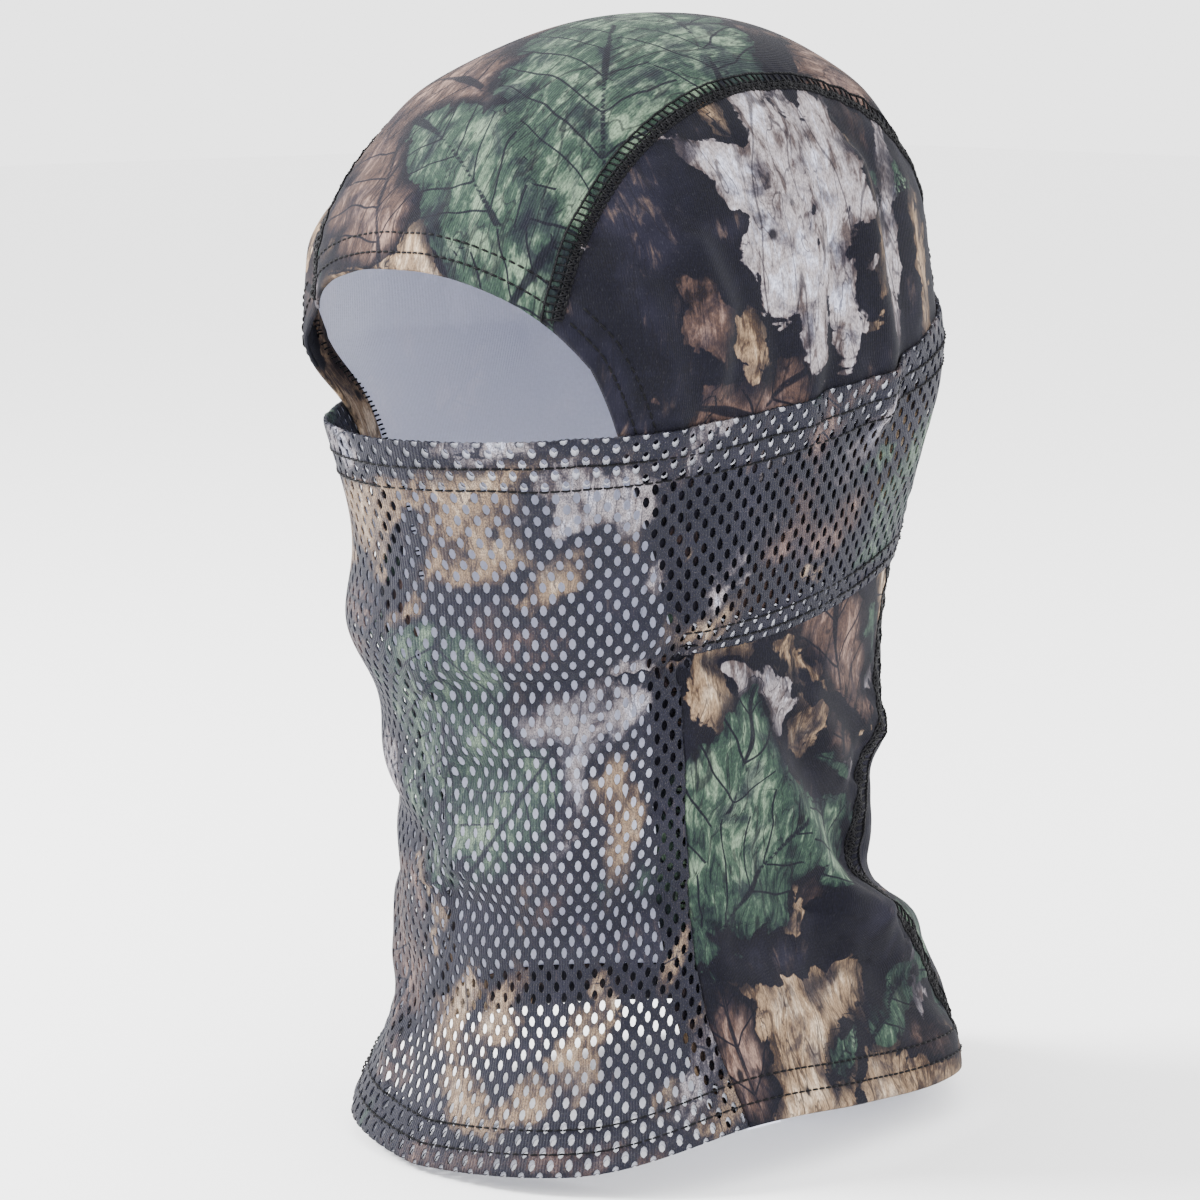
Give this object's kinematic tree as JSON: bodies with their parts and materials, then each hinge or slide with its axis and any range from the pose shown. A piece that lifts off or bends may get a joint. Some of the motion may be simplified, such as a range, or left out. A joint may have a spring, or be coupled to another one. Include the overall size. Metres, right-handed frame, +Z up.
{
  "type": "camouflage balaclava",
  "caption": "Close-fitting camouflage hood with an open-mesh face cover that pulls down from the nose to the chin, cover-stitched seams and a flared neck.",
  "frame": {"origin": "the inside of the crown, where the top of the wearer's head carries the hood", "axes": "+Z up along the neck and head, -Y the way the wearer faces, +X the wearer's left"},
  "size_m": [0.1768, 0.2381, 0.3617],
  "materials": {
    "printed_knit": "brushed polyester jersey with a printed leaf and bark camouflage, matt",
    "printed_mesh": "warp-knitted polyester mesh with oval holes, printed with the same camouflage, faint gloss",
    "black_thread": "black textured polyester sewing thread"
  },
  "bodies": {
    "hood": {"crown_panel": "printed_knit", "left_side_panel": "printed_knit", "right_side_panel": "printed_knit", "neck_mesh_panel": "printed_mesh", "left_crown_seam_thread": "black_thread", "right_crown_seam_thread": "black_thread", "brow_hem_thread": "black_thread", "left_eye_hem_thread": "black_thread", "right_eye_hem_thread": "black_thread", "left_join_thread": "black_thread", "right_join_thread": "black_thread", "neck_hem_thread": "black_thread"},
    "face_cover": {"face_mesh_cover": "printed_mesh", "cover_top_hem_thread": "black_thread", "left_cover_hem_thread": "black_thread", "right_cover_hem_thread": "black_thread", "cover_back_seam_thread": "black_thread"}
  },
  "joints": [
    {"name": "cover_pull_down", "type": "slide", "parent": "hood", "child": "face_cover", "axis": [0, 0, -1], "range_m": [0, 0.08]}
  ]
}
